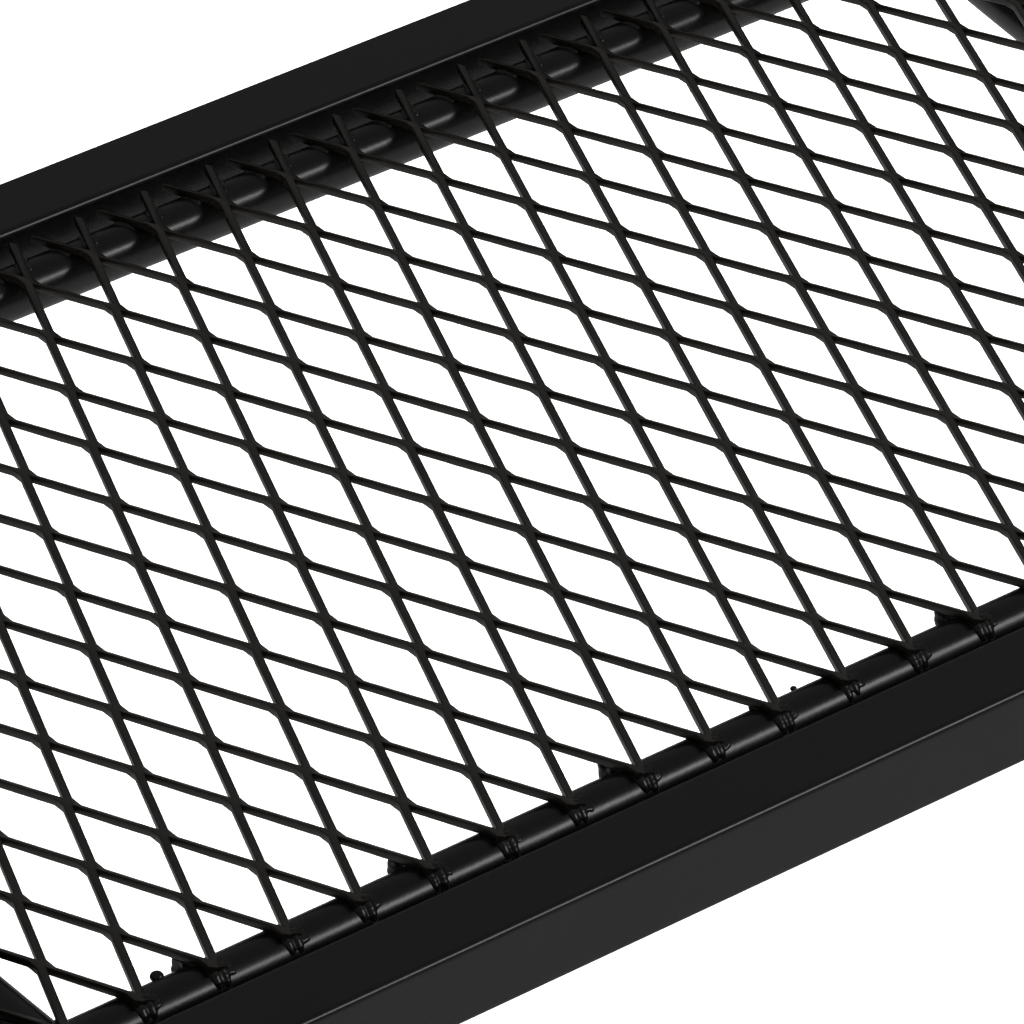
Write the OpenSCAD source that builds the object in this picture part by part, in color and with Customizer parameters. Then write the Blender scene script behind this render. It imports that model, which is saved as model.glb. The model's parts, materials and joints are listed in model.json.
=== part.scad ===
// Folding hitch cargo carrier: a flat expanded-metal tray that plugs into a 50.8 mm receiver.
// X runs along the tray, +Y points to the vehicle and +Z is up.
// The origin is the centre of the hitch pin hole in the shank.

/* [Tray frame] */
// Length of the front and rear rails
frame_l = 1524; // [1300:1:1700]
// Width of the frame over the front and rear rails
frame_w = 470; // [400:1:600]
// Outer size of the square rail tube
rail_size = 30; // [25:0.5:40]
// Wall thickness of the rail tube
rail_wall = 2; // [1.2:0.1:3]
// Outer corner radius of the rail tube
rail_corner_r = 2.4; // [1:0.1:4]

/* [Support rods] */
// Diameter of the round tubes that carry the mesh
rod_d = 19; // [12:0.5:25]
// Wall thickness of the round tubes
rod_wall = 1.5; // [1:0.1:2.5]
// Gap between a long rod and its rail
rod_gap = 7.8; // [3:0.1:20]
// Depth of the top of the rods below the top of the rails
rod_drop = 3.4; // [1:0.1:8]
// Thickness of the flat tabs that tie the rods to the rails
tab_t = 5; // [3:0.5:8]
// Length of each tab along the rail
tab_l = 40; // [20:1:80]
// Distance from the middle of the tray to the outer tabs
tab_x = 120; // [80:1:300]

/* [Brace tubes] */
// Distance from the middle of the tray to a brace tube, at the front rod
brace_x = 44; // [30:0.5:150]
// Angle between a brace tube and the Y axis, at the front rod
brace_lean = 10; // [2:0.5:20]
// Radius of the bow of a brace tube
brace_r = 1500; // [900:10:3000]

/* [Expanded mesh] */
// Pitch of the diamonds along the tray
mesh_short = 28.8; // [20:0.1:45]
// Pitch of the diamonds across the tray
mesh_long = 66.7; // [45:0.1:100]
// Width across two joined strands, measured along the tray
bond_w = 6.5; // [4:0.1:10]
// Half length of the joint between two strands
bond_half_l = 2.6; // [1.5:0.1:8]
// Thickness of the sheet
mesh_t = 3; // [1.5:0.1:4]
// Distance of the first column of joints from the middle of the tray
mesh_shift = 6.3; // [0:0.1:14]
// Distance that the rear row of joints lies behind the rear rod's axis
mesh_row_back = 2.6; // [0:0.1:4]
// Gap between the sheet and the frame at both ends
mesh_end_gap = 3; // [1:0.5:10]
// Gap between the cut strand tips and the front rail
mesh_front_gap = 5; // [2:0.5:12]

/* [Spine] */
// Width of the spine tube under the tray
spine_w = 25.4; // [20:0.1:40]
// Height of the spine tube under the tray
spine_h = 25.4; // [20:0.1:40]
// Wall thickness of the spine tube
spine_wall = 2.5; // [1.5:0.1:4]
// Outer corner radius of the spine tube
spine_corner_r = 3; // [1:0.1:4]

/* [Hitch shank] */
// Outer size of the square shank, to suit the receiver
shank_size = 50.8; // [31.8:0.1:63.5]
// Wall thickness of the shank
shank_wall = 5; // [3:0.1:7]
// Outer corner radius of the shank
shank_corner_r = 6; // [5.5:0.1:8]
// Diameter of the hitch pin hole
hitch_hole_d = 16.5; // [12:0.1:17]
// Distance from the hitch pin hole to the vehicle end of the shank
shank_nose = 70; // [50:1:100]
// Distance from the hitch pin hole to the fold pivot
pivot_back = 215; // [150:1:320]

/* [Fold hinge] */
// Thickness of the hinge bracket plate
plate_t = 6; // [4:0.5:8]
// Gap between the shank and each arm of the bracket
arm_gap = 0.8; // [0.4:0.1:2]
// Radius of the curved slot about the pivot
slot_r = 48; // [42:0.5:70]
// Metal left around the slot
slot_edge = 11; // [8:0.5:16]
// Gap between the swinging bracket and the end of the shank
swing_gap = 5; // [3:0.5:12]
// Metal left behind the stop bolt in the shank
shank_end = 18; // [14:0.5:30]
// Length of a gusset along the rail
gusset_l = 72; // [40:1:120]
// Length of a gusset along the bracket arm
gusset_w = 52; // [30:1:58]
// Width of the blunt ends of a gusset
gusset_nose = 8; // [4:1:14]

/* [Bolts] */
// Diameter of the pivot bolt and the stop bolt
bolt_d = 12; // [10:0.5:14]
// Running clearance of a bolt in its sleeve, on the radius
bolt_fit = 0.08; // [0.03:0.01:0.1]
// Clearance of a bolt in a plate, on the radius
plate_fit = 0.35; // [0.1:0.05:0.45]
// Outer diameter of the steel sleeves inside the shank
sleeve_d = 20; // [18:0.5:24]
// Width of the bolt heads and nuts across the flats
hex_af = 19; // [17:0.5:22]
// Height of a bolt head
head_h = 7.5; // [5:0.1:9]
// Height of the locking nut
nut_h = 12; // [9:0.1:14]
// Outer diameter of the washers
washer_d = 28; // [24:0.5:32]
// Thickness of the washers
washer_t = 2.5; // [1.5:0.1:4]
// Gap between the shank's own washers and the bracket
washer_gap = 0.3; // [0.2:0.05:0.6]
// Diameter of the clamp knob
knob_d = 38; // [30:1:38]
// Height of the clamp knob
knob_h = 22; // [16:1:32]
// Number of lobes on the clamp knob
knob_lobes = 5; // [3:1:6]
// Diameter of each lobe
lobe_d = 9.6; // [7:0.1:10]
// Outer diameter of the steel insert in the knob
insert_d = 16; // [14:0.5:16.5]

/* [Fittings] */
// Thickness of the plastic cap flanges
cap_t = 2.5; // [1.5:0.1:5]
// Depth of the plastic plug inside a tube
cap_plug = 14; // [8:1:25]
// Clearance of a plug inside its tube
cap_fit = 0.2; // [0.1:0.05:0.5]
// Length of a rear reflector
reflector_l = 70; // [40:1:100]
// Height of a rear reflector
reflector_h = 20; // [14:0.5:24]
// Thickness of the reflector body
reflector_t = 3; // [2:0.5:6]
// Height of the lens above the reflector body
lens_t = 2.5; // [1:0.5:4]
// Distance from the end of the rail to the reflector
reflector_inset = 27; // [10:1:60]
// Diameter of the tie-down loop rod
loop_d = 8; // [6:0.5:10]
// Radius of the tie-down loop, on its centreline
loop_r = 17; // [13:0.5:24]
// Length of the straight legs of a tie-down loop
loop_leg = 6; // [3:0.5:15]
// Distance from the middle of the end rail to a tie-down loop
loop_y = 120; // [60:1:160]

/* [Hidden] */
$fn = 48;
eps = 0.01;

// The spine and the rail above it are together as high as the bracket, and the shank is centred on them.
bracket_h = rail_size + spine_h;
rail_top = bracket_h / 2;
rail_mid = rail_top - rail_size / 2;
spine_mid = rail_top - rail_size - spine_h / 2;

// Hinge: everything is placed from the pivot, and the web clears the corner of the shank as it swings.
pivot_y = -pivot_back;
stop_y = pivot_y - slot_r;
shank_back = slot_r + shank_end;
web_y = pivot_y - norm([shank_back, shank_size / 2]) - swing_gap;
rail_front = web_y - plate_t;
arm_in = shank_size / 2 + arm_gap;
arm_out = arm_in + plate_t;
slot_half = bolt_d / 2 + plate_fit;
arm_r = slot_r + slot_half + slot_edge;

// Tray
tray_y = rail_front - frame_w / 2;
front_y = rail_front - rail_size / 2;
rear_y = rail_front - frame_w + rail_size / 2;
inner_front = rail_front - rail_size;
inner_rear = rail_front - frame_w + rail_size;
inner_l = frame_l - 2 * rail_size;
inner_w = frame_w - 2 * rail_size;
rod_z = rail_top - rod_drop - rod_d / 2;
rod_off = rod_gap + rod_d / 2;
front_rod_y = inner_front - rod_off;
rear_rod_y = inner_rear + rod_off;
end_rod_x = inner_l / 2 - rod_off;
rod_span = front_rod_y - rear_rod_y;

// Mesh: joints sit on rows half a long pitch apart, and each row is shifted by half a short pitch.
row_0 = rear_rod_y - mesh_row_back;
mesh_front = inner_front - mesh_front_gap;
rows = floor((mesh_front - row_0 - bond_half_l) / (mesh_long / 2));
row_last = row_0 + rows * mesh_long / 2;
mesh_x = inner_l / 2 - mesh_end_gap;
hole_w = (mesh_short - bond_w) / 2;
hole_l = mesh_long / 2 - bond_half_l;
lean = hole_w / (hole_l - bond_half_l);
columns = floor((mesh_x - mesh_short / 2) / mesh_short);
cut = mesh_front - row_last;
split = max((cut - bond_half_l) * lean, 0.5);
gap_half = max((hole_l - cut) * lean, 0.5);

// Bolts
bolt_out = arm_out + washer_t;
stop_out = arm_out + washer_gap + washer_t;
knob_gap = 0.3;
knob_in = stop_out + knob_gap;
cope_trim = 2;
steel = [0.07, 0.07, 0.065];
zinc = [0.62, 0.63, 0.64];
plastic = [0.05, 0.05, 0.05];
red = [0.6, 0.04, 0.03];

module rounded_rect(w, h, r) {
    square([w - 2 * r, h], center = true);
    square([w, h - 2 * r], center = true);
    for (sx = [-1, 1], sy = [-1, 1])
        translate([sx * (w / 2 - r), sy * (h / 2 - r)]) circle(r = r);
}

module tube_profile(w, h, wall, r) {
    inner_r = max(r - wall, 0.5);
    difference() {
        rounded_rect(w, h, r);
        rounded_rect(w - 2 * wall, h - 2 * wall, inner_r);
    }
}

// A profile drawn in Y and Z, pushed along X
module along_x(l) {
    rotate([90, 0, 90]) linear_extrude(height = l, center = true) children();
}

// A profile drawn in X and Z, pushed along Y
module along_y(l) {
    rotate([90, 0, 0]) linear_extrude(height = l, center = true) children();
}

module round_tube_x(l, d, wall) {
    along_x(l) difference() {
        circle(d = d);
        circle(d = d - 2 * wall);
    }
}

module long_rail(y) {
    translate([0, y, rail_mid])
        along_x(frame_l) tube_profile(rail_size, rail_size, rail_wall, rail_corner_r);
}

module end_rail(side) {
    translate([side * (frame_l - rail_size) / 2, tray_y, rail_mid])
        along_y(inner_w) tube_profile(rail_size, rail_size, rail_wall, rail_corner_r);
}

module long_rod(y) {
    translate([0, y, rod_z]) round_tube_x(inner_l, rod_d, rod_wall);
}

// A short rod whose ends are coped to the long rods
module end_rod(side) {
    difference() {
        translate([side * end_rod_x, (front_rod_y + rear_rod_y) / 2, rod_z])
            rotate([90, 0, 0])
                difference() {
                    cylinder(h = rod_span, d = rod_d, center = true);
                    cylinder(h = rod_span + 1, d = rod_d - 2 * rod_wall, center = true);
                }
        long_rod_space();
    }
}

module long_rod_space() {
    for (y = [front_rod_y, rear_rod_y])
        translate([0, y, rod_z])
            rotate([0, 90, 0]) cylinder(h = inner_l + 1, d = rod_d, center = true);
}

// One bowed tube from the rear rod to the front rod. Its ends are coped to them, and the thin tips trimmed off.
module brace_tube(side) {
    rear_lean = asin(sin(brace_lean) - rod_span / brace_r);
    spare = 1;
    difference() {
        mirror([side > 0 ? 1 : 0, 0, 0])
            translate([brace_r * cos(brace_lean) - brace_x, front_rod_y - brace_r * sin(brace_lean), rod_z])
                rotate([0, 0, 180 - brace_lean - spare])
                    rotate_extrude(angle = brace_lean - rear_lean + 2 * spare, $fn = 720)
                        translate([brace_r, 0])
                            difference() {
                                circle(d = rod_d);
                                circle(d = rod_d - 2 * rod_wall);
                            }
        long_rod_space();
        for (end = [[rear_rod_y, -1], [front_rod_y, 1]])
            translate([0, end[0] + end[1] * (2 * rod_d - cope_trim), rod_z])
                cube([inner_l, 4 * rod_d, 2 * rod_d], center = true);
    }
}

module front_rail() { color(steel) long_rail(front_y); }
module rear_rail() { color(steel) long_rail(rear_y); }
module left_end_rail() { color(steel) end_rail(-1); }
module right_end_rail() { color(steel) end_rail(1); }
module front_rod() { color(steel) long_rod(front_rod_y); }
module rear_rod() { color(steel) long_rod(rear_rod_y); }
module left_end_rod() { color(steel) end_rod(-1); }
module right_end_rod() { color(steel) end_rod(1); }
module left_brace_tube() { color(steel) brace_tube(-1); }
module right_brace_tube() { color(steel) brace_tube(1); }

// Flat tabs in the gap between a long rod and the inner face of its rail
module tabs(rod_y, rail_y) {
    difference() {
        for (x = [-tab_x, 0, tab_x])
            translate([x, (rod_y + rail_y) / 2, rod_z])
                cube([tab_l, rod_off, tab_t], center = true);
        long_rod_space();
    }
}

module front_rod_tabs() { color(steel) tabs(front_rod_y, inner_front); }
module rear_rod_tabs() { color(steel) tabs(rear_rod_y, inner_rear); }

// Joints of an even row stand at mesh_shift, and those of an odd row half a pitch on.
function gap_x(k, row) = mesh_shift + (k + (row % 2 + 1) / 2) * mesh_short;
function gaps(row) = [
    for (k = [-columns - 2 : columns + 2])
        let (x = gap_x(k, row)) if (abs(x) < mesh_x - mesh_short / 2) x
];

// Half of the opening at x on the line y, pointing towards +Y or -Y
function notch(x, y, dir) = [
    [x - hole_w, y], [x - hole_w, y + dir * bond_half_l], [x, y + dir * hole_l],
    [x + hole_w, y + dir * bond_half_l], [x + hole_w, y]
];
function backwards(list) = [for (i = [len(list) - 1 : -1 : 0]) list[i]];

// The rear edge is sheared just behind its joints.
function rear_notch(x) = concat(
    [[x - hole_w, row_0 - bond_half_l]], notch(x, row_0, 1), [[x + hole_w, row_0 - bond_half_l]]);

// The front edge is sheared through the strands, which stand out as forks with a split in the middle.
function front_notch(x) = concat(
    [[x - gap_half, mesh_front], [x - hole_w, row_last + bond_half_l]],
    notch(x, row_last, -1),
    [[x + hole_w, row_last + bond_half_l], [x + gap_half, mesh_front]]);
function front_split(x) = [
    [x - split, mesh_front], [x, row_last + bond_half_l], [x + split, mesh_front]];

// One row of strands from the joints of a row to those of the next
function lower_side(row, y) =
    row == 0
    ? concat([[-mesh_x, y - bond_half_l]], [for (x = gaps(0), p = rear_notch(x)) p],
             [[mesh_x, y - bond_half_l]])
    : concat([[-mesh_x, y]], [for (x = gaps(row), p = notch(x, y, 1)) p], [[mesh_x, y]]);
function upper_side(row, y) =
    row == rows
    ? concat([[-mesh_x, mesh_front]],
             [for (x = gaps(row), p = concat(front_notch(x), front_split(x + mesh_short / 2)))
                 if (p[0] < mesh_x) p],
             [[mesh_x, mesh_front]])
    : concat([[-mesh_x, y]], [for (x = gaps(row), p = notch(x, y, -1)) p], [[mesh_x, y]]);
function strand_row(row) =
    let (y = row_0 + row * mesh_long / 2)
    concat(lower_side(row, y), backwards(upper_side(row + 1, y + mesh_long / 2)));

module mesh_deck() {
    color(steel) translate([0, 0, rail_top - rod_drop])
        linear_extrude(height = mesh_t)
            for (row = [0 : rows - 1]) polygon(strand_row(row));
}

// The spine lies under both rails and butts against the hinge bracket.
module spine_tube() {
    color(steel) translate([0, tray_y, spine_mid])
        along_y(frame_w) tube_profile(spine_w, spine_h, spine_wall, spine_corner_r);
}

// Outline of a bracket arm in Y and Z, with the pivot at the origin
module arm_outline() {
    arm_l = pivot_y - rail_front;
    translate([-arm_l, -bracket_h / 2]) square([arm_l, bracket_h]);
    circle(d = bracket_h);
    intersection() {
        circle(r = arm_r, $fn = 96);
        translate([-arm_l, -2 * arm_r]) square([arm_l, 2 * arm_r]);
    }
    translate([0, -slot_r]) circle(r = slot_half + slot_edge);
    translate([0, -slot_r]) square([slot_half + slot_edge, slot_r]);
}

// A quarter of a ring from behind the pivot to below it, with round ends
module slot_outline() {
    intersection() {
        difference() {
            circle(r = slot_r + slot_half, $fn = 96);
            circle(r = slot_r - slot_half, $fn = 96);
        }
        translate([-2 * arm_r, -2 * arm_r]) square(2 * arm_r);
    }
    translate([-slot_r, 0]) circle(r = slot_half);
    translate([0, -slot_r]) circle(r = slot_half);
}

module arm(side) {
    translate([side * (arm_in + plate_t / 2), pivot_y, 0])
        along_x(plate_t) difference() {
            arm_outline();
            circle(r = bolt_d / 2 + plate_fit);
            slot_outline();
        }
}

module hinge_bracket() {
    color(steel) union() {
        arm(-1);
        arm(1);
        translate([-arm_out, web_y - plate_t, -bracket_h / 2])
            cube([2 * arm_out, plate_t, bracket_h]);
    }
}

// The gussets are flush with the top of the rail, above the knob and the bolt heads.
module gusset(side) {
    translate([side * arm_out, rail_front, rail_top - plate_t])
        mirror([side < 0 ? 1 : 0, 0, 0])
            linear_extrude(height = plate_t)
                polygon([[0, 0], [gusset_l, 0], [gusset_l, gusset_nose], [gusset_nose, gusset_w], [0, gusset_w]]);
}

module left_gusset() { color(steel) gusset(-1); }
module right_gusset() { color(steel) gusset(1); }

module cross_hole(y, d) {
    translate([0, y, 0]) rotate([0, 90, 0]) cylinder(h = 2 * shank_size, d = d, center = true);
}

module shank_tube() {
    shank_l = shank_nose + pivot_back + shank_back;
    color(steel) difference() {
        translate([0, shank_nose - shank_l / 2, 0])
            along_y(shank_l) tube_profile(shank_size, shank_size, shank_wall, shank_corner_r);
        cross_hole(0, hitch_hole_d);
        cross_hole(pivot_y, sleeve_d + 2 * plate_fit);
        cross_hole(stop_y, sleeve_d + 2 * plate_fit);
    }
}

// A square plastic cap: a flange over the end of a tube and a plug inside it.
// The plug points along -Z, and the flange stands on z = 0.
module tube_cap(w, h, wall, r) {
    linear_extrude(height = cap_t) rounded_rect(w, h, r);
    plug_w = w - 2 * wall - 2 * cap_fit;
    plug_h = h - 2 * wall - 2 * cap_fit;
    translate([0, 0, -cap_plug]) linear_extrude(height = cap_plug + eps)
        difference() {
            rounded_rect(plug_w, plug_h, 1);
            square([plug_w - 4, plug_h - 4], center = true);
        }
}

module rail_cap(side, y) {
    translate([side * frame_l / 2, y, rail_mid])
        rotate([0, side * 90, 0]) tube_cap(rail_size, rail_size, rail_wall, rail_corner_r);
}

module front_left_cap() { color(plastic) rail_cap(-1, front_y); }
module front_right_cap() { color(plastic) rail_cap(1, front_y); }
module rear_left_cap() { color(plastic) rail_cap(-1, rear_y); }
module rear_right_cap() { color(plastic) rail_cap(1, rear_y); }

module spine_cap() {
    color(plastic) translate([0, rail_front - frame_w, spine_mid])
        rotate([90, 0, 0]) tube_cap(spine_w, spine_h, spine_wall, spine_corner_r);
}

module shank_nose_cap() {
    color(plastic) translate([0, shank_nose, 0])
        rotate([-90, 0, 0]) tube_cap(shank_size, shank_size, shank_wall, shank_corner_r);
}

// Lies along +X from x = 0
module bar(l, d) {
    rotate([0, 90, 0]) cylinder(h = l, d = d);
}

// A hexagon prism along +X with its corners chamfered by a cone at each end
module hex_prism(l) {
    r = hex_af / sqrt(3);
    intersection() {
        rotate([0, 90, 0]) cylinder(h = l, r = r, $fn = 6);
        rotate([0, 90, 0]) cylinder(h = l, d1 = hex_af * 0.96, d2 = hex_af * 0.96 + 2 * l * 1.7);
    }
}

module washer_at(x, y) {
    translate([x, y, 0]) rotate([0, 90, 0])
        difference() {
            cylinder(h = washer_t, d = washer_d);
            translate([0, 0, -1]) cylinder(h = washer_t + 2, d = bolt_d + 2 * plate_fit);
        }
}

module sleeve_at(y, l) {
    translate([-l / 2, y, 0]) rotate([0, 90, 0])
        difference() {
            cylinder(h = l, d = sleeve_d);
            translate([0, 0, -1]) cylinder(h = l + 2, d = bolt_d + 2 * bolt_fit);
        }
}

// Head on the left, thread on the right
module bolt_at(y, head_x, tail_x) {
    translate([-head_x - head_h, y, 0]) hex_prism(head_h);
    translate([-head_x - eps, y, 0]) bar(head_x + tail_x, bolt_d);
}

module pivot_bolt() {
    color(zinc) bolt_at(pivot_y, bolt_out, bolt_out + nut_h + 4);
}

module pivot_washers() {
    color(zinc) {
        washer_at(-bolt_out, pivot_y);
        washer_at(arm_out, pivot_y);
    }
}

module pivot_nut() {
    color(zinc) translate([bolt_out, pivot_y, 0]) difference() {
        union() {
            hex_prism(nut_h * 0.72);
            bar(nut_h, hex_af * 0.86);
        }
        translate([-1, 0, 0]) bar(nut_h + 2, bolt_d + 2 * bolt_fit);
    }
}

module pivot_sleeve() {
    color(zinc) sleeve_at(pivot_y, shank_size);
}

module stop_sleeve() {
    color(zinc) sleeve_at(stop_y, shank_size);
}

module stop_washers() {
    color(zinc) {
        washer_at(-stop_out, stop_y);
        washer_at(arm_out + washer_gap, stop_y);
    }
}

module stop_bolt() {
    color(zinc) bolt_at(stop_y, stop_out, knob_in + knob_h * 0.6);
}

// A lobed plastic knob over a steel insert
module clamp_knob() {
    foot = knob_h / 5;
    color(plastic) translate([knob_in, stop_y, 0]) rotate([0, 90, 0]) {
        linear_extrude(height = foot) difference() {
            circle(d = insert_d + 5);
            circle(d = insert_d);
        }
        translate([0, 0, foot]) linear_extrude(height = 3 * foot) difference() {
            lobes();
            circle(d = insert_d);
        }
        translate([0, 0, 4 * foot]) linear_extrude(height = foot) lobes();
    }
}

module lobes() {
    circle(d = knob_d - lobe_d);
    for (i = [0 : knob_lobes - 1])
        rotate(360 * i / knob_lobes) translate([(knob_d - lobe_d) / 2, 0]) circle(d = lobe_d);
}

module knob_insert() {
    color(zinc) translate([knob_in, stop_y, 0]) rotate([0, 90, 0]) difference() {
        cylinder(h = knob_h * 0.8, d = insert_d);
        translate([0, 0, -1]) cylinder(h = knob_h * 0.8 + 2, d = bolt_d + 2 * bolt_fit);
    }
}

module reflector_place(side) {
    translate([side * (frame_l / 2 - reflector_inset - reflector_l / 2), rail_front - frame_w, rail_mid])
        rotate([90, 0, 0]) children();
}

module reflector_base(side) {
    color(plastic) reflector_place(side)
        linear_extrude(height = reflector_t) rounded_rect(reflector_l, reflector_h, 4);
}

module reflector_lens(side) {
    color(red) reflector_place(side) translate([0, 0, reflector_t])
        linear_extrude(height = lens_t) rounded_rect(reflector_l - 5, reflector_h - 5, 3);
}

module left_reflector_base() { reflector_base(-1); }
module right_reflector_base() { reflector_base(1); }
module left_reflector_lens() { reflector_lens(-1); }
module right_reflector_lens() { reflector_lens(1); }

// A U-shaped loop of round rod under an end rail
module tie_loop(side, end) {
    translate([side * (frame_l - rail_size) / 2, tray_y + end * loop_y, rail_top - rail_size]) {
        for (s = [-1, 1])
            translate([0, s * loop_r, -loop_leg]) cylinder(h = loop_leg, d = loop_d);
        translate([0, 0, -loop_leg]) rotate([0, 90, 0]) rotate([0, 0, -90])
            rotate_extrude(angle = 180) translate([loop_r, 0]) circle(d = loop_d);
    }
}

module front_left_loop() { color(steel) tie_loop(-1, 1); }
module front_right_loop() { color(steel) tie_loop(1, 1); }
module rear_left_loop() { color(steel) tie_loop(-1, -1); }
module rear_right_loop() { color(steel) tie_loop(1, -1); }

front_rail();
rear_rail();
left_end_rail();
right_end_rail();
front_rod();
rear_rod();
left_end_rod();
right_end_rod();
left_brace_tube();
right_brace_tube();
front_rod_tabs();
rear_rod_tabs();
mesh_deck();
spine_tube();
hinge_bracket();
left_gusset();
right_gusset();
shank_tube();
shank_nose_cap();
pivot_bolt();
pivot_washers();
pivot_nut();
pivot_sleeve();
stop_bolt();
stop_sleeve();
stop_washers();
clamp_knob();
knob_insert();
front_left_cap();
front_right_cap();
rear_left_cap();
rear_right_cap();
spine_cap();
left_reflector_base();
right_reflector_base();
left_reflector_lens();
right_reflector_lens();
front_left_loop();
front_right_loop();
rear_left_loop();
rear_right_loop();
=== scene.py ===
# Folding hitch cargo carrier: the looks of the steel tray, its mesh, its welds and its fittings.
import json
import math
import random

import bpy
from mathutils import Matrix, Vector


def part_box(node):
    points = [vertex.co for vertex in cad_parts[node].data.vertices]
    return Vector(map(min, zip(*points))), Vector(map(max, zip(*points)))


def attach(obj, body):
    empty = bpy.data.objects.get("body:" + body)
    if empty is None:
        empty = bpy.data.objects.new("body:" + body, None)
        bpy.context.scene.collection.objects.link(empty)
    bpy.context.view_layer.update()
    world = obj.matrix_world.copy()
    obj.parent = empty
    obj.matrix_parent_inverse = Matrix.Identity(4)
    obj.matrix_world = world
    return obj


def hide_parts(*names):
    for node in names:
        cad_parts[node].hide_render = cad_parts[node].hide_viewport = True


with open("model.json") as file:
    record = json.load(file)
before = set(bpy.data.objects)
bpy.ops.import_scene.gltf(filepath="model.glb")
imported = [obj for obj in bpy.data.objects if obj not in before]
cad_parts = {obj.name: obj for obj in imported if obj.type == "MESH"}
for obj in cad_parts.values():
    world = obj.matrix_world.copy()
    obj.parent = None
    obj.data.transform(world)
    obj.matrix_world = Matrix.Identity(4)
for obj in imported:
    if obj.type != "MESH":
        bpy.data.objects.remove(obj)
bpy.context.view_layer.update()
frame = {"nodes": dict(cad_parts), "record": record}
nodes = frame["nodes"]
mm = 0.001
fullTurn = 6.28
chance = random.Random(7)


def toLinear(hexText):
    def channel(c):
        return c / 12.92 if c <= 0.04045 else ((c + 0.055) / 1.055) ** 2.4
    return [channel(int(hexText[i:i + 2], 16) / 255) for i in (1, 3, 5)] + [1.0]


def addNode(tree, kind, settings=None, links=None):
    # settings go on sockets by name, or on the node itself; links map a socket to a (node, output) pair
    node = tree.nodes.new(kind)
    for name, value in (settings or {}).items():
        if name in node.inputs:
            node.inputs[name].default_value = value
        else:
            setattr(node, name, value)
    for name, (source, output) in (links or {}).items():
        tree.links.new(source.outputs[output], node.inputs[name])
    return node


def deselectAll():
    if bpy.context.object and bpy.context.object.mode != "OBJECT":
        bpy.ops.object.mode_set(mode="OBJECT")
    bpy.ops.object.select_all(action="DESELECT")


def makeActive(*things):
    deselectAll()
    for thing in things:
        thing.select_set(True)
    bpy.context.view_layer.objects.active = things[0]


def pickFaces(piece, test):
    # leaves edit mode, selects the faces that pass, and goes back in
    bpy.ops.object.mode_set(mode="OBJECT")
    mesh = piece.data
    for part in (mesh.vertices, mesh.edges, mesh.polygons):
        part.foreach_set("select", [False] * len(part))
    for face in mesh.polygons:
        face.select = test(face.center, face.normal)
    bpy.ops.object.mode_set(mode="EDIT")
    bpy.ops.mesh.select_mode(type="FACE")


def applyPlace(piece):
    makeActive(piece)
    bpy.ops.object.transform_apply(location=True, rotation=True, scale=True)


def applyModifier(piece, kind, **settings):
    makeActive(piece)
    modifier = piece.modifiers.new(kind.title(), kind)
    for name, value in settings.items():
        setattr(modifier, name, value)
    bpy.ops.object.modifier_apply(modifier=modifier.name)


def joinAll(things, name):
    makeActive(*things)
    bpy.ops.object.join()
    piece = bpy.context.object
    piece.name = name
    piece.data.name = name
    return piece


def copyOf(source, place):
    twin = source.copy()
    twin.data = source.data.copy()
    twin.data.transform(place)
    bpy.context.scene.collection.objects.link(twin)
    return twin


def finishPiece(piece, body, material, angle=40):
    makeActive(piece)
    bpy.ops.object.shade_smooth_by_angle(angle=math.radians(angle))
    piece.data.materials.clear()
    piece.data.materials.append(material)
    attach(piece, body)


def newMaterial(name):
    material = bpy.data.materials.new(name)
    material.use_nodes = True
    tree = material.node_tree
    return material, tree, tree.nodes["Principled BSDF"]


def bumpFrom(tree, shader, height, strength, distance):
    bump = addNode(tree, "ShaderNodeBump", {"Strength": strength, "Distance": distance}, {"Height": height})
    tree.links.new(bump.outputs["Normal"], shader.inputs["Normal"])


def powderCoat(name, dark, light, rough, roughSpread, peel):
    # polyester powder baked on steel: black, half gloss, with a faint orange peel about 2 mm across
    material, tree, shader = newMaterial(name)
    shader.inputs["IOR"].default_value = 1.5
    place = addNode(tree, "ShaderNodeTexCoord")
    cloud = addNode(tree, "ShaderNodeTexNoise", {"Scale": 35.0, "Detail": 4.0}, {"Vector": (place, "Object")})
    tint = addNode(tree, "ShaderNodeValToRGB", links={"Fac": (cloud, "Fac")})
    tint.color_ramp.elements[0].position = 0.35
    tint.color_ramp.elements[0].color = toLinear(dark)
    tint.color_ramp.elements[1].position = 0.7
    tint.color_ramp.elements[1].color = toLinear(light)
    tree.links.new(tint.outputs["Color"], shader.inputs["Base Color"])
    gloss = addNode(tree, "ShaderNodeMapRange", {"From Min": 0.3, "From Max": 0.7, "To Min": rough,
                                                 "To Max": rough + roughSpread}, {"Value": (cloud, "Fac")})
    tree.links.new(gloss.outputs["Result"], shader.inputs["Roughness"])
    skin = addNode(tree, "ShaderNodeTexNoise", {"Scale": 520.0, "Detail": 2.0}, {"Vector": (place, "Object")})
    bumpFrom(tree, shader, (skin, "Fac"), peel, 0.0004)
    return material


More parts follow.
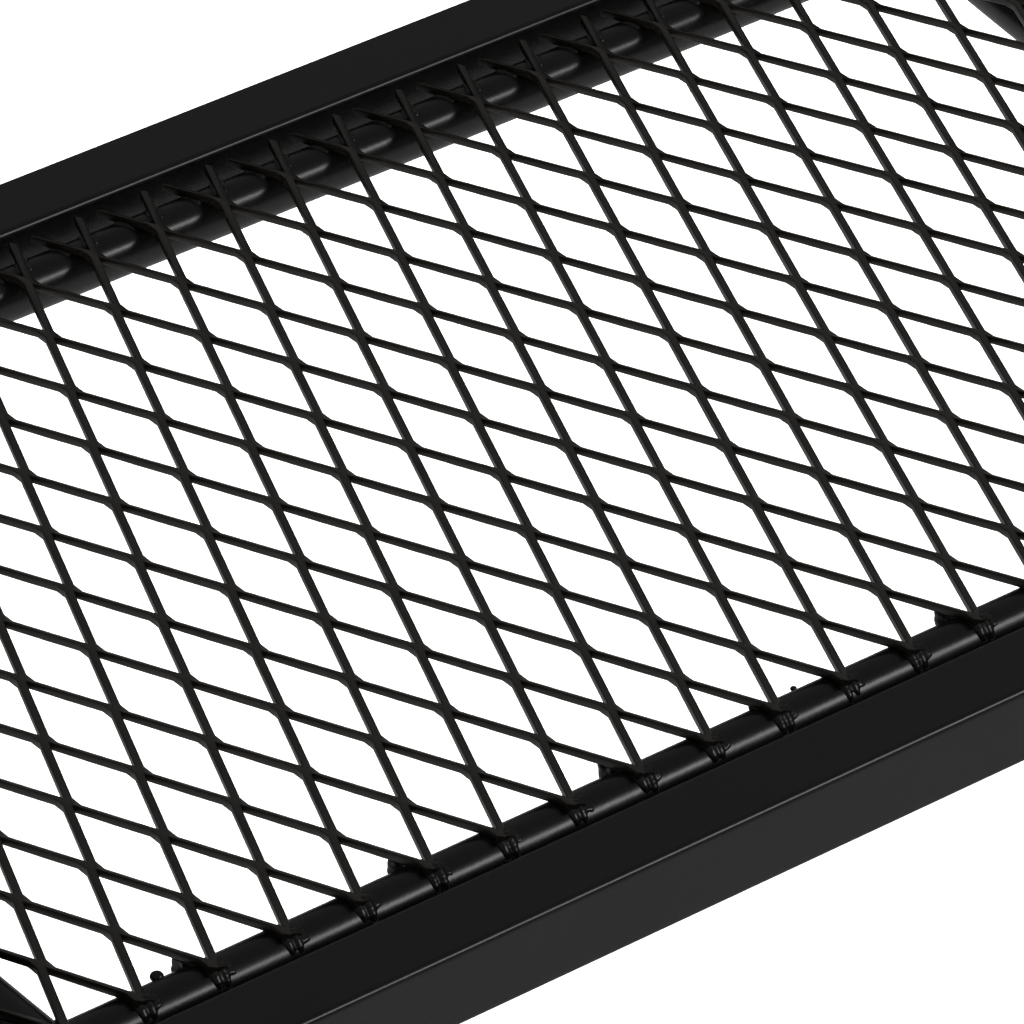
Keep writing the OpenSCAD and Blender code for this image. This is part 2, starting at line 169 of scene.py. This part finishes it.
def zincPlating():
    # bright zinc on steel: cool grey, faint rolled cloudiness, fine scratches too small to see one by one
    material, tree, shader = newMaterial("brightZinc")
    shader.inputs["Metallic"].default_value = 1.0
    place = addNode(tree, "ShaderNodeTexCoord")
    cloud = addNode(tree, "ShaderNodeTexNoise", {"Scale": 180.0, "Detail": 5.0},
                    {"Vector": (place, "Object")})
    tint = addNode(tree, "ShaderNodeValToRGB", links={"Fac": (cloud, "Fac")})
    tint.color_ramp.elements[0].color = toLinear("#9fa3a6")
    tint.color_ramp.elements[1].color = toLinear("#c9cbca")
    tree.links.new(tint.outputs["Color"], shader.inputs["Base Color"])
    gloss = addNode(tree, "ShaderNodeMapRange", {"To Min": 0.22, "To Max": 0.42}, {"Value": (cloud, "Fac")})
    tree.links.new(gloss.outputs["Result"], shader.inputs["Roughness"])
    bumpFrom(tree, shader, (cloud, "Fac"), 0.15, 0.0002)
    return material


def mouldedNylon(name, colour, rough):
    # black nylon from a spark-eroded mould: satin, with a grain drawn 0.7 mm across so that it shows
    material, tree, shader = newMaterial(name)
    shader.inputs["Base Color"].default_value = toLinear(colour)
    shader.inputs["IOR"].default_value = 1.53
    place = addNode(tree, "ShaderNodeTexCoord")
    grain = addNode(tree, "ShaderNodeTexVoronoi", {"Scale": 1400.0}, {"Vector": (place, "Object")})
    gloss = addNode(tree, "ShaderNodeMapRange", {"To Min": rough, "To Max": rough + 0.15},
                    {"Value": (grain, "Distance")})
    tree.links.new(gloss.outputs["Result"], shader.inputs["Roughness"])
    bumpFrom(tree, shader, (grain, "Distance"), 0.35, 0.0002)
    return material


def prismLens():
    # clear-coated acrylic moulded in red, with rows of 3.2 mm corner prisms behind the face
    material, tree, shader = newMaterial("redPrismLens")
    shader.inputs["IOR"].default_value = 1.49
    shader.inputs["Roughness"].default_value = 0.12
    shader.inputs["Coat Weight"].default_value = 0.6
    place = addNode(tree, "ShaderNodeTexCoord")
    prisms = addNode(tree, "ShaderNodeTexVoronoi",
                     {"Scale": 310.0, "Randomness": 0.0, "distance": "CHEBYCHEV"},
                     {"Vector": (place, "Object")})
    tint = addNode(tree, "ShaderNodeValToRGB", links={"Fac": (prisms, "Distance")})
    tint.color_ramp.elements[0].color = toLinear("#c81414")
    tint.color_ramp.elements[1].color = toLinear("#6d0505")
    tree.links.new(tint.outputs["Color"], shader.inputs["Base Color"])
    bumpFrom(tree, shader, (prisms, "Distance"), 0.6, 0.0006)
    return material


tubeCoat = powderCoat("blackPowderCoat", "#131313", "#161615", 0.24, 0.03, 0.08)
meshCoat = powderCoat("blackPowderCoatOnMesh", "#19160f", "#201c13", 0.30, 0.06, 0.16)
weldCoat = powderCoat("blackPowderCoatOnWelds", "#121212", "#171716", 0.24, 0.08, 0.25)
zinc = zincPlating()
capNylon = mouldedNylon("blackNylonCaps", "#17181a", 0.42)
knobNylon = mouldedNylon("blackNylonKnob", "#1a1b1d", 0.36)
redLens = prismLens()
print("materials made")


slotMaterials = {
    "black_powder_coat": tubeCoat, "zinc_plate": zinc, "black_plastic": capNylon, "red_lens": redLens,
}
for part in frame["record"]["subparts"]:
    node = nodes[part["node"]]
    node.data.materials.clear()
    node.data.materials.append(slotMaterials[part["material_slot"]])
nodes["clamp_knob"].data.materials[0] = knobNylon

# The edges of cut plate, turned metal and moulded plastic are broken by a small bevel.
edgeBreaks = {
    "hinge_bracket": 0.8 * mm, "left_gusset": 0.8 * mm, "right_gusset": 0.8 * mm,
    "front_rod_tabs": 0.6 * mm, "rear_rod_tabs": 0.6 * mm,
    "pivot_washers": 0.25 * mm, "stop_washers": 0.25 * mm, "clamp_knob": 1.1 * mm,
    "left_reflector_base": 0.7 * mm, "right_reflector_base": 0.7 * mm,
    "left_reflector_lens": 0.8 * mm, "right_reflector_lens": 0.8 * mm,
}
for name, width in edgeBreaks.items():
    bevel = nodes[name].modifiers.new("edgeBreak", "BEVEL")
    bevel.width = width
    bevel.segments = 2
    bevel.limit_method = "ANGLE"
    bevel.angle_limit = math.radians(50)
print("CAD nodes painted")

deckLow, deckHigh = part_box("mesh_deck")
rodLow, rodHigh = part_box("rear_rod")
frontRodLow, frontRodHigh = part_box("front_rod")
rodRadius = (rodHigh.z - rodLow.z) / 2
rearRodY = (rodLow.y + rodHigh.y) / 2
frontRodY = (frontRodLow.y + frontRodHigh.y) / 2
rodZ = (rodLow.z + rodHigh.z) / 2

# Raised expanded metal. The array makes it larger than the deck, and it is then cut to the deck's edges.
sheet = {
    "pitchX": 28.8 * mm,        # short way of the diamonds
    "pitchY": 66.7 * mm,        # long way
    "jointWidth": 7.6 * mm,     # two strands side by side, with their paint
    "jointHalf": 2.6 * mm,
    "thickness": 3.3 * mm,      # measured upright
    "firstColumn": 8.7 * mm,    # from the middle of the tray
    "rearShift": 0.4 * mm,      # the rear joints stand this far in front of the deck's rear edge
    "middle": 24.2 * mm,        # the low half of each joint is sunk into the weld on the rods
    "step": -3.4 * mm,          # rise from the -X side of a joint to its +X side
    "edgeRound": 0.5 * mm,
    "sharp": 50,                # degrees between two faces at an edge that is rounded
    "merge": 0.05 * mm,         # ends of strands closer than this are one
    "rowPairs": 7,
    "columnSpan": 26,           # columns on each side of the first one
}
rowZero = deckLow.y + sheet["jointHalf"] + sheet["rearShift"]
strandSlope = (sheet["pitchX"] - sheet["jointWidth"]) / (sheet["pitchY"] - 4 * sheet["jointHalf"])


def strandCell(s):
    # One joint with its four half strands. Its cut ends stay open, so that neighbours weld together.
    deselectAll()
    bpy.ops.mesh.primitive_cube_add(size=1, location=(0, 0, s["middle"]))
    cell = bpy.context.object
    cell.scale = (s["jointWidth"], 2 * s["jointHalf"], s["thickness"])
    applyPlace(cell)
    bpy.ops.object.mode_set(mode="EDIT")
    bpy.ops.mesh.select_all(action="SELECT")
    bpy.ops.mesh.bisect(plane_co=(0, 0, 0), plane_no=(1, 0, 0))
    # the joint leans, because the press pushes one strand down beside the other
    for sideX in (-1, 1):
        pickFaces(cell, lambda c, n: n.x * sideX > 0.9)
        bpy.ops.transform.translate(value=(0, 0, sideX * s["step"] / 2))
    half = s["jointWidth"] / 2
    run = (s["pitchX"] / 2 - half) / 2
    rise = s["pitchY"] / 4 - s["jointHalf"]
    nearEnd = 0.01 * s["jointHalf"]
    for sideX in (-1, 1):
        for sideY in (-1, 1):
            pickFaces(cell, lambda c, n: abs(abs(c.y) - s["jointHalf"]) < nearEnd
                      and n.y * sideY > 0.9 and c.x * sideX > 0)
            bpy.ops.mesh.extrude_region_move(
                TRANSFORM_OT_translate={"value": (sideX * run, sideY * rise, -sideX * s["step"] / 4)})
    pickFaces(cell, lambda c, n: abs(n.y) > 0.99 and abs(c.y) > s["pitchY"] / 4 - nearEnd)
    bpy.ops.mesh.delete(type="FACE")
    bpy.ops.mesh.select_mode(type="EDGE")
    bpy.ops.mesh.select_all(action="DESELECT")
    bpy.ops.mesh.edges_select_sharp(sharpness=math.radians(s["sharp"]))
    bpy.ops.mesh.bevel(offset=s["edgeRound"], segments=2, profile=0.5)
    bpy.ops.object.mode_set(mode="OBJECT")
    return cell


def repeat(piece, count, step, s):
    applyModifier(piece, "ARRAY", count=count, use_relative_offset=False, use_constant_offset=True,
                  constant_offset_displace=step, use_merge_vertices=True, merge_threshold=s["merge"])


def makeSheet(s):
    cell = strandCell(s)
    firstX = s["firstColumn"] - s["columnSpan"] * s["pitchX"]
    cell.data.transform(Matrix.Translation((firstX, rowZero, 0)))
    repeat(cell, 2, (s["pitchX"] / 2, s["pitchY"] / 2, 0), s)
    repeat(cell, 2 * s["columnSpan"] + 1, (s["pitchX"], 0, 0), s)
    repeat(cell, s["rowPairs"], (0, s["pitchY"], 0), s)
    makeActive(cell)
    bpy.ops.object.mode_set(mode="EDIT")
    cuts = (((deckLow.x, 0, 0), (-1, 0, 0)), ((deckHigh.x, 0, 0), (1, 0, 0)),
            ((0, rowZero - s["jointHalf"], 0), (0, -1, 0)), ((0, deckHigh.y, 0), (0, 1, 0)))
    for place, away in cuts:
        bpy.ops.mesh.select_all(action="SELECT")
        bpy.ops.mesh.bisect(plane_co=place, plane_no=away, clear_outer=True, use_fill=True)
    bpy.ops.object.mode_set(mode="OBJECT")
    cell.name = "expandedMesh"
    return cell


expandedMesh = makeSheet(sheet)
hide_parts("mesh_deck")
finishPiece(expandedMesh, "tray", meshCoat)
print("expanded mesh made:", len(expandedMesh.data.polygons), "faces")


def meltedBall():
    # one small ball, copied for every drop of weld metal and deleted at the end
    deselectAll()
    bpy.ops.mesh.primitive_uv_sphere_add(segments=10, ring_count=6, radius=1)
    return bpy.context.object


def drop(place, radius, flatness=1):
    size = Matrix.Diagonal((radius, radius, radius * flatness, 1))
    spin = Matrix.Rotation(chance.uniform(0, fullTurn), 4, "Z")
    return copyOf(ball, Matrix.Translation(place) @ size @ spin)


def fuse(drops, name, grain, passes):
    # the drops melt together into one closed skin
    piece = joinAll(drops, name)
    applyModifier(piece, "REMESH", mode="VOXEL", voxel_size=grain)
    applyModifier(piece, "SMOOTH", factor=0.5, iterations=passes)
    finishPiece(piece, "tray", weldCoat, 180)
    return piece


def onRod(rodY, degrees, x, sink):
    # a point just under the skin of a long rod; the angle runs from its crest towards +Y
    reach = rodRadius - sink
    angle = math.radians(degrees)
    return Vector((x, rodY + reach * math.sin(angle), rodZ + reach * math.cos(angle)))


def jointColumns(row):
    # the joints of a row that lie on the sheet
    offset = sheet["pitchX"] / 2 if row % 2 else 0
    span = sheet["columnSpan"] + 1
    margin = 2 * mm
    places = [sheet["firstColumn"] + offset + k * sheet["pitchX"] for k in range(-span, span)]
    return [x for x in places if deckLow.x + margin < x < deckHigh.x - margin]


# The sheared rear joints are tacked down by two lobes that run down the rear flank of the rod.
rearTack = {
    "lobeGap": 1.7 * mm,
    "angles": (-14, -25, -35, -45, -54),        # degrees from the crest of the rod
    "radii": (2.2 * mm, 2.1 * mm, 2.0 * mm, 1.8 * mm, 1.5 * mm),
    "stretch": (0.9, 1.2),                      # how much longer or shorter one lobe runs than another
    "swell": (0.85, 1.1),
    "sink": 0.5 * mm,
    "ripples": (4.1 * mm, 5.3 * mm),            # beside the joint
    "rippleAngles": (-38, -28, -18, -8),
    "rippleDrift": 3,                           # degrees
    "rippleRadius": (1.1, 1.45),                # millimetres
    "rippleSink": 0.8 * mm,
    "webs": {-23: 1.0, -20: 1.0, -17: 1.0, -15: 0.6, -12: 1.0},     # column and size
    "chosenColumns": range(-26, -10),           # only the webs above stand in these columns
    "webChance": 0.3,                           # for each other column
    "webSize": (0.6, 1),
    "webReach": (5 * mm, 7 * mm, 9 * mm, 11 * mm, 12.6 * mm),
    "webRadius": 2.0 * mm,
    "webUneven": (0.85, 1.15),
    "webTop": 1.2 * mm,                         # below the middle of the sheet
    "webStep": 1.5 * mm,
    "webSink": 1 * mm,                          # into the rod
    "webFoot": 3.5 * mm,                        # no drop lies lower than this above the rod's axis
    "spatter": (                                # place along the rod, angle, radius
        (-408.3 * mm, 50, 1.5 * mm), (-669.0 * mm, 48, 2.6 * mm),
        (-96.0 * mm, -20, 1.2 * mm), (214.0 * mm, 35, 1.4 * mm),
    ),
    "spatterFlatness": 0.7,
    "spatterLift": 0.3,                         # part of its radius that its middle stands clear of the rod
    "grain": 0.55 * mm,
    "smoothing": 3,
}


def webDrops(x, size, s):
    # metal that hangs from the strand in front of the joint down to the rod
    drops = []
    for reach in s["webReach"]:
        y = rowZero + reach * size
        strandX = x - sheet["jointWidth"] / 4 - (reach * size - sheet["jointHalf"]) * strandSlope
        rodTop = rodZ + math.sqrt(max(rodRadius ** 2 - (y - rearRodY) ** 2, 0))
        height = sheet["middle"] - s["webTop"]
        while height > max(rodTop - s["webSink"], rodZ + s["webFoot"]):
            drops.append(drop((strandX, y, height), s["webRadius"] * chance.uniform(*s["webUneven"])))
            height -= s["webStep"]
    return drops


def webSize(column, s):
    if column in s["chosenColumns"]:
        return s["webs"].get(column, 0)
    return (chance.random() < s["webChance"]) * chance.uniform(*s["webSize"])


def makeRearTacks(s):
    drops = []
    for x in jointColumns(0):
        for side in (-1, 1):
            stretch = chance.uniform(*s["stretch"])
            swell = chance.uniform(*s["swell"])
            for angle, radius in zip(s["angles"], s["radii"]):
                place = onRod(rearRodY, angle * stretch, x + side * s["lobeGap"], s["sink"])
                drops.append(drop(place, radius * swell))
        for shift in s["ripples"]:
            for angle in s["rippleAngles"]:
                drift = chance.uniform(-s["rippleDrift"], s["rippleDrift"])
                place = onRod(rearRodY, angle + drift, x + shift, s["rippleSink"])
                drops.append(drop(place, chance.uniform(*s["rippleRadius"]) * mm))
        size = webSize(round((x - sheet["firstColumn"]) / sheet["pitchX"]), s)
        if size:
            drops += webDrops(x, size, s)
    for x, angle, radius in s["spatter"]:
        place = onRod(rearRodY, angle, x, -s["spatterLift"] * radius)
        drops.append(drop(place, radius, s["spatterFlatness"]))
    return fuse(drops, "rearRodWelds", s["grain"], s["smoothing"])


# Where the strands cross the crest of the front rod, each one has a small fillet on both sides.
frontTack = {
    "row": 11,                  # the row of joints nearest to the front rod
    "crossing": 11.15 * mm,     # from those joints to the crest
    "side": 2.0 * mm,
    "angles": (-16, -4, 9, 21),
    "radius": 1.7 * mm,
    "uneven": (0.7, 1.15),
    "sink": 0.7 * mm,
    "grain": 0.55 * mm,
    "smoothing": 3,
}


def makeFrontTacks(s):
    drops = []
    offset = sheet["jointWidth"] / 4 + (s["crossing"] - sheet["jointHalf"]) * strandSlope
    for x in jointColumns(s["row"]):
        for side in (-1, 1):
            for edge in (-1, 1):
                for angle in s["angles"]:
                    lean = side * math.radians(angle) * rodRadius * strandSlope
                    tackX = x + side * offset + lean + edge * s["side"]
                    place = onRod(frontRodY, angle, tackX, s["sink"])
                    drops.append(drop(place, s["radius"] * chance.uniform(*s["uneven"])))
    return fuse(drops, "frontRodWelds", s["grain"], s["smoothing"])


ball = meltedBall()
rearRodWelds = makeRearTacks(rearTack)
frontRodWelds = makeFrontTacks(frontTack)
print("mesh welds made:", len(rearRodWelds.data.polygons), len(frontRodWelds.data.polygons), "faces")

railLow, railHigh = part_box("front_rail")
rearRailLow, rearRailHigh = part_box("rear_rail")
endRailLow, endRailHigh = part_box("right_end_rail")
endRodLow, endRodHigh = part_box("right_end_rod")
spineLow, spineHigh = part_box("spine_tube")
bracketLow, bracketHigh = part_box("hinge_bracket")
tabLow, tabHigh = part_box("rear_rod_tabs")
gussetLow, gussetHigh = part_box("right_gusset")

seam = {
    "step": 1.9 * mm,           # distance between two ripples of a bead
    "radius": 2.6 * mm,
    "small": 1.9 * mm,
    "uneven": (0.9, 1.08),
    "grain": 0.7 * mm,
    "smoothing": 1,
    "tabMiddles": (-120 * mm, 0, 120 * mm),
    "tabHalf": 20 * mm,
    "loopPlaces": (-137 * mm, -103 * mm, 103 * mm, 137 * mm),
    "loopRadius": 4 * mm,
    "rodRing": 60 * mm,         # length of a bead round the end of a rod
    "saddleRing": 68 * mm,      # and round the end of one that is coped to another
    "loopRing": 28 * mm,
    "braceFront": 44 * mm,      # from the middle of the tray to the ends of a brace tube
    "braceRear": 62.4 * mm,
    "endIn": 2 * mm,            # a bead stops this far from the end of its seam
    "topIn": 5 * mm,            # and the upright ones this far below the top of a rail, inside
    "outerTopIn": 3 * mm,       # and outside
    "flush": 0.8 * mm,          # the outer bead of a corner is sunk this far
}
bottom, top = endRailLow.z, endRailHigh.z


def straightBead(start, end, radius):
    start, end = Vector(start), Vector(end)
    count = max(2, round((end - start).length / seam["step"]))
    return [drop(start.lerp(end, (i + 0.5) / count), radius * chance.uniform(*seam["uneven"]))
            for i in range(count)]


def ringBead(pointAt, radius, length):
    count = max(8, round(length / seam["step"]))
    return [drop(Vector(pointAt(2 * math.pi * i / count)), radius * chance.uniform(*seam["uneven"]))
            for i in range(count)]


def cornerBeads(side, s):
    # end rails to long rails: up the inside corner, across underneath and up the outside
    drops = []
    inner, outer = endRailLow.x, endRailHigh.x
    flushX = side * (outer - s["flush"])
    for y in (endRailLow.y, endRailHigh.y):
        drops += straightBead((side * inner, y, bottom + s["endIn"]), (side * inner, y, top - s["topIn"]),
                              s["radius"])
        drops += straightBead((side * (inner + s["endIn"]), y, bottom),
                              (side * (outer - s["endIn"]), y, bottom), s["small"])
        drops += straightBead((flushX, y, bottom + s["endIn"]), (flushX, y, top - s["outerTopIn"]),
                              s["small"])
    return drops


def rodBeads(side, s):
    # long rods to end rails
    drops = []
    inner = endRailLow.x
    for y in (rearRodY, frontRodY):
        drops += ringBead(lambda a: (side * inner, y + rodRadius * math.cos(a),
                                     rodZ + rodRadius * math.sin(a)), s["small"], s["rodRing"])
    # end rods and brace tubes to long rods, along a saddle
    endX = (endRodLow.x + endRodHigh.x) / 2
    for y, way, places in ((rearRodY, 1, (endX, s["braceRear"])), (frontRodY, -1, (endX, s["braceFront"]))):
        for x in places:
            drops += ringBead(lambda a: (side * (x + rodRadius * math.cos(a)),
                                         y + way * rodRadius * abs(math.cos(a)),
                                         rodZ + rodRadius * math.sin(a)), s["small"], s["saddleRing"])
    return drops


def loopBeads(side, s):
    # tie-down loops under the end rails
    drops = []
    middleX = side * (endRailLow.x + endRailHigh.x) / 2
    middleY = (endRailLow.y + endRailHigh.y) / 2
    radius = s["loopRadius"]
    for place in s["loopPlaces"]:
        drops += ringBead(lambda a: (middleX + radius * math.cos(a), middleY + place + radius * math.sin(a),
                                     bottom), s["small"], s["loopRing"])
    return drops


def hingeBeads(side, s):
    # spine under both rails
    drops = []
    big, small = s["radius"], s["small"]
    spineX, armX = side * spineHigh.x, side * bracketHigh.x
    railFace, under = railHigh.y, gussetLow.z
    for low, high in ((rearRailLow, rearRailHigh), (railLow, railHigh)):
        drops += straightBead((spineX, low.y + 1 * mm, bottom), (spineX, high.y - 1 * mm, bottom), big)
    # bracket web to the front rail and to the end of the spine
    drops += straightBead((armX, railFace, bottom + s["endIn"]), (armX, railFace, under - 1 * mm), big)
    drops += straightBead((spineX, railFace, bottom - s["endIn"]),
                          (spineX, railFace, spineLow.z + s["endIn"]), small)
    # gussets to the rail and to the arms
    drops += straightBead((side * (bracketHigh.x + 3 * mm), railFace, under),
                          (side * (gussetHigh.x - 1 * mm), railFace, under), small)
    drops += straightBead((armX, railFace + 3 * mm, under), (armX, gussetHigh.y - 1 * mm, under), small)
    return drops


def tabBeads(s):
    # tabs to the rods and the rails, above and below
    drops = []
    for middle in s["tabMiddles"]:
        for level in (tabLow.z, tabHigh.z):
            flank = math.sqrt(rodRadius ** 2 - (level - rodZ) ** 2)
            for y in (rearRailHigh.y, railLow.y, rearRodY - flank, frontRodY + flank):
                drops += straightBead((middle - s["tabHalf"], y, level), (middle + s["tabHalf"], y, level),
                                      s["small"])
    return drops


def makeSeams(s):
    drops = []
    for side in (-1, 1):
        drops += cornerBeads(side, s) + rodBeads(side, s) + loopBeads(side, s) + hingeBeads(side, s)
    drops += tabBeads(s)
    return fuse(drops, "frameWelds", s["grain"], s["smoothing"])


frameWelds = makeSeams(seam)
bpy.data.objects.remove(ball, do_unlink=True)
print("frame welds made:", len(frameWelds.data.polygons), "faces")

view = {
    "lens": 313.2, "sensor": 36, "reach": 50,
    "turn": 37.81, "down": 33.80,       # degrees from +Y and below level
    "distance": 3.033,
    "target": (-0.4228, -0.5781, deckHigh.z - 0.3 * mm),
}
turn, down = math.radians(view["turn"]), math.radians(view["down"])
forward = Vector((math.sin(turn) * math.cos(down), math.cos(turn) * math.cos(down), -math.sin(down)))
cameraData = bpy.data.cameras.new("viewCamera")
cameraData.lens = view["lens"]
cameraData.sensor_width = view["sensor"]
cameraData.clip_end = view["reach"]
camera = bpy.data.objects.new("viewCamera", cameraData)
camera.location = Vector(view["target"]) - forward * view["distance"]
camera.rotation_euler = forward.to_track_quat("-Z", "Y").to_euler()
bpy.context.scene.collection.objects.link(camera)
bpy.context.scene.camera = camera

studio = {
    "floorZ": -0.42, "floorSize": 14,
    "key": {"power": 10.0, "size": (1.2, 0.4), "place": (0.72, -2.18, 1.48), "aim": (-0.45, -0.72, 0.02)},
    "wash": {"power": 330.0, "size": (3.0, 3.0), "place": (0.2, 0.6, 2.6), "aim": (0.1, 0.2, -0.42)},
    "lowGrey": 0.38, "lowHeight": -0.35,        # the room is paler below this height of the line of sight
    "highGrey": 0.14, "highHeight": 0.1,
}


def areaLight(name, s):
    data = bpy.data.lights.new(name, "AREA")
    data.energy = s["power"]
    data.shape = "RECTANGLE"
    data.size, data.size_y = s["size"]
    lamp = bpy.data.objects.new(name, data)
    lamp.location = s["place"]
    lamp.rotation_euler = (Vector(s["aim"]) - Vector(s["place"])).to_track_quat("-Z", "Y").to_euler()
    bpy.context.scene.collection.objects.link(lamp)
    return lamp


deselectAll()
bpy.ops.mesh.primitive_plane_add(size=studio["floorSize"], location=(0, 0, studio["floorZ"]))
floor = bpy.context.object
floor.name = "studioFloor"
applyPlace(floor)
floorPaint, floorTree, floorShader = newMaterial("paleFloor")
floorShader.inputs["Base Color"].default_value = toLinear("#f4f4f2")
floorShader.inputs["Roughness"].default_value = 0.8
floorShader.inputs["Specular IOR Level"].default_value = 0.1
floor.data.materials.append(floorPaint)
floor.visible_glossy = False   # the black paint mirrors the dim room and not the lit floor

areaLight("keySoftbox", studio["key"])
wash = areaLight("floorWash", studio["wash"])
stageOnly = bpy.data.collections.new("stageOnly")
stageOnly.objects.link(floor)
wash.light_linking.receiver_collection = stageOnly
wash.light_linking.blocker_collection = stageOnly

world = bpy.data.worlds.new("studioWorld")
world.use_nodes = True
worldTree = world.node_tree
backdrop = worldTree.nodes["Background"]
backdrop.inputs["Color"].default_value = toLinear("#ffffff")
heading = addNode(worldTree, "ShaderNodeTexCoord")
split = addNode(worldTree, "ShaderNodeSeparateXYZ", links={"Vector": (heading, "Generated")})
fade = addNode(worldTree, "ShaderNodeMapRange",
               {"From Min": studio["lowHeight"], "From Max": studio["highHeight"],
                "To Min": studio["lowGrey"], "To Max": studio["highGrey"]}, {"Value": (split, "Z")})
worldTree.links.new(fade.outputs["Result"], backdrop.inputs["Strength"])
bpy.context.scene.world = world
bpy.context.scene.view_settings.view_transform = "Standard"
print("camera, light and floor made")
